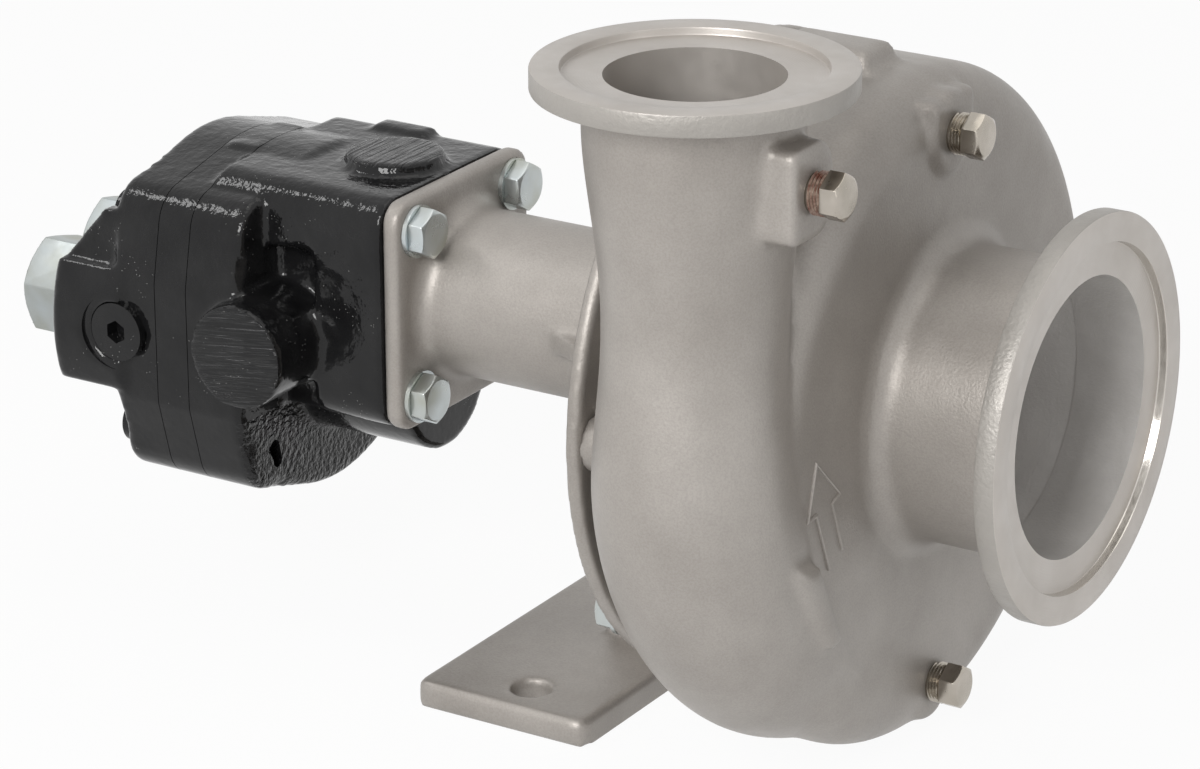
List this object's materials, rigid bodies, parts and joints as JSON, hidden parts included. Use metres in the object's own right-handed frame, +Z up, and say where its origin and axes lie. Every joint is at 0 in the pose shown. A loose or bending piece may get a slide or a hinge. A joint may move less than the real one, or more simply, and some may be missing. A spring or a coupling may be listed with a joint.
{
  "type": "centrifugal pump with hydraulic gear motor",
  "caption": "Close-coupled volute pump in cast stainless steel, with clamp-style suction and discharge flanges, a bolted foot bracket and a black hydraulic gear motor that drives its shaft.",
  "frame": {"origin": "midway between the two foot holes, on the base plane under the shaft axis", "axes": "+X along the shaft out of the suction port, +Z up out of the discharge port, +Y away from the discharge side"},
  "size_m": [0.3366, 0.2246, 0.2104],
  "materials": {
    "cast_stainless": "bead-blasted investment casting, machined on the flange faces",
    "bright_stainless": "machined or drawn stainless, bright",
    "zinc_plate": "zinc plated, pale and slightly bluish",
    "black_paint": "thick glossy black paint over rough iron",
    "hard_steel": "ground or hobbed steel, lightly oiled",
    "black_rubber": "moulded rubber",
    "pale_ceramic": null,
    "carbon_face": null,
    "bronze_bush": "turned bearing bronze"
  },
  "bodies": {
    "pump_body": {"volute_casing": "cast_stainless", "vent_plug": "bright_stainless", "drain_plug": "bright_stainless", "gauge_plug": "bright_stainless", "casing_o_ring": "black_rubber", "mounting_bracket": "cast_stainless", "casing_bolts": "zinc_plate", "casing_washers": "zinc_plate", "flange_bolts": "zinc_plate", "flange_washers": "zinc_plate", "seal_seat_cup": "black_rubber", "seal_seat": "pale_ceramic", "bearing_outer_race": "hard_steel", "lip_seal": "black_rubber", "motor_front_housing": "black_paint", "motor_gear_plate": "black_paint", "motor_rear_cover": "black_paint", "front_bushes": "bronze_bush", "rear_bushes": "bronze_bush", "pressure_adapter": "zinc_plate", "tank_adapter": "zinc_plate", "socket_plug": "black_paint", "motor_bolts": "black_paint", "dowel_pins": "hard_steel"},
    "rotor": {"drive_shaft": "bright_stainless", "impeller": "cast_stainless", "impeller_key": "bright_stainless", "impeller_washer": "bright_stainless", "impeller_nut": "bright_stainless", "seal_ring": "carbon_face", "seal_bellows": "black_rubber", "seal_spring": "bright_stainless", "seal_retainer": "bright_stainless", "slinger": "black_rubber", "bearing_inner_race": "hard_steel", "shaft_circlip": "hard_steel", "drive_gear": "hard_steel"},
    "idler": {"idler_gear": "hard_steel"},
    "ball_set": {"bearing_balls": "hard_steel", "bearing_cage": "bronze_bush"}
  },
  "joints": [
    {"name": "rotor_spin", "type": "hinge", "parent": "pump_body", "child": "rotor", "pos_m": [0.0417, 0, 0.101], "axis": [1, 0, 0], "continuous": true},
    {"name": "idler_spin", "type": "hinge", "parent": "pump_body", "child": "idler", "pos_m": [-0.1193, 0, 0.072], "axis": [1, 0, 0], "continuous": true},
    {"name": "ball_spin", "type": "hinge", "parent": "pump_body", "child": "ball_set", "pos_m": [-0.0678, 0, 0.101], "axis": [1, 0, 0], "continuous": true}
  ],
  "couplings": [
    {"joint": "idler_spin", "follows": "rotor_spin", "ratio": -1},
    {"joint": "ball_spin", "follows": "rotor_spin", "ratio": 0.37308}
  ]
}
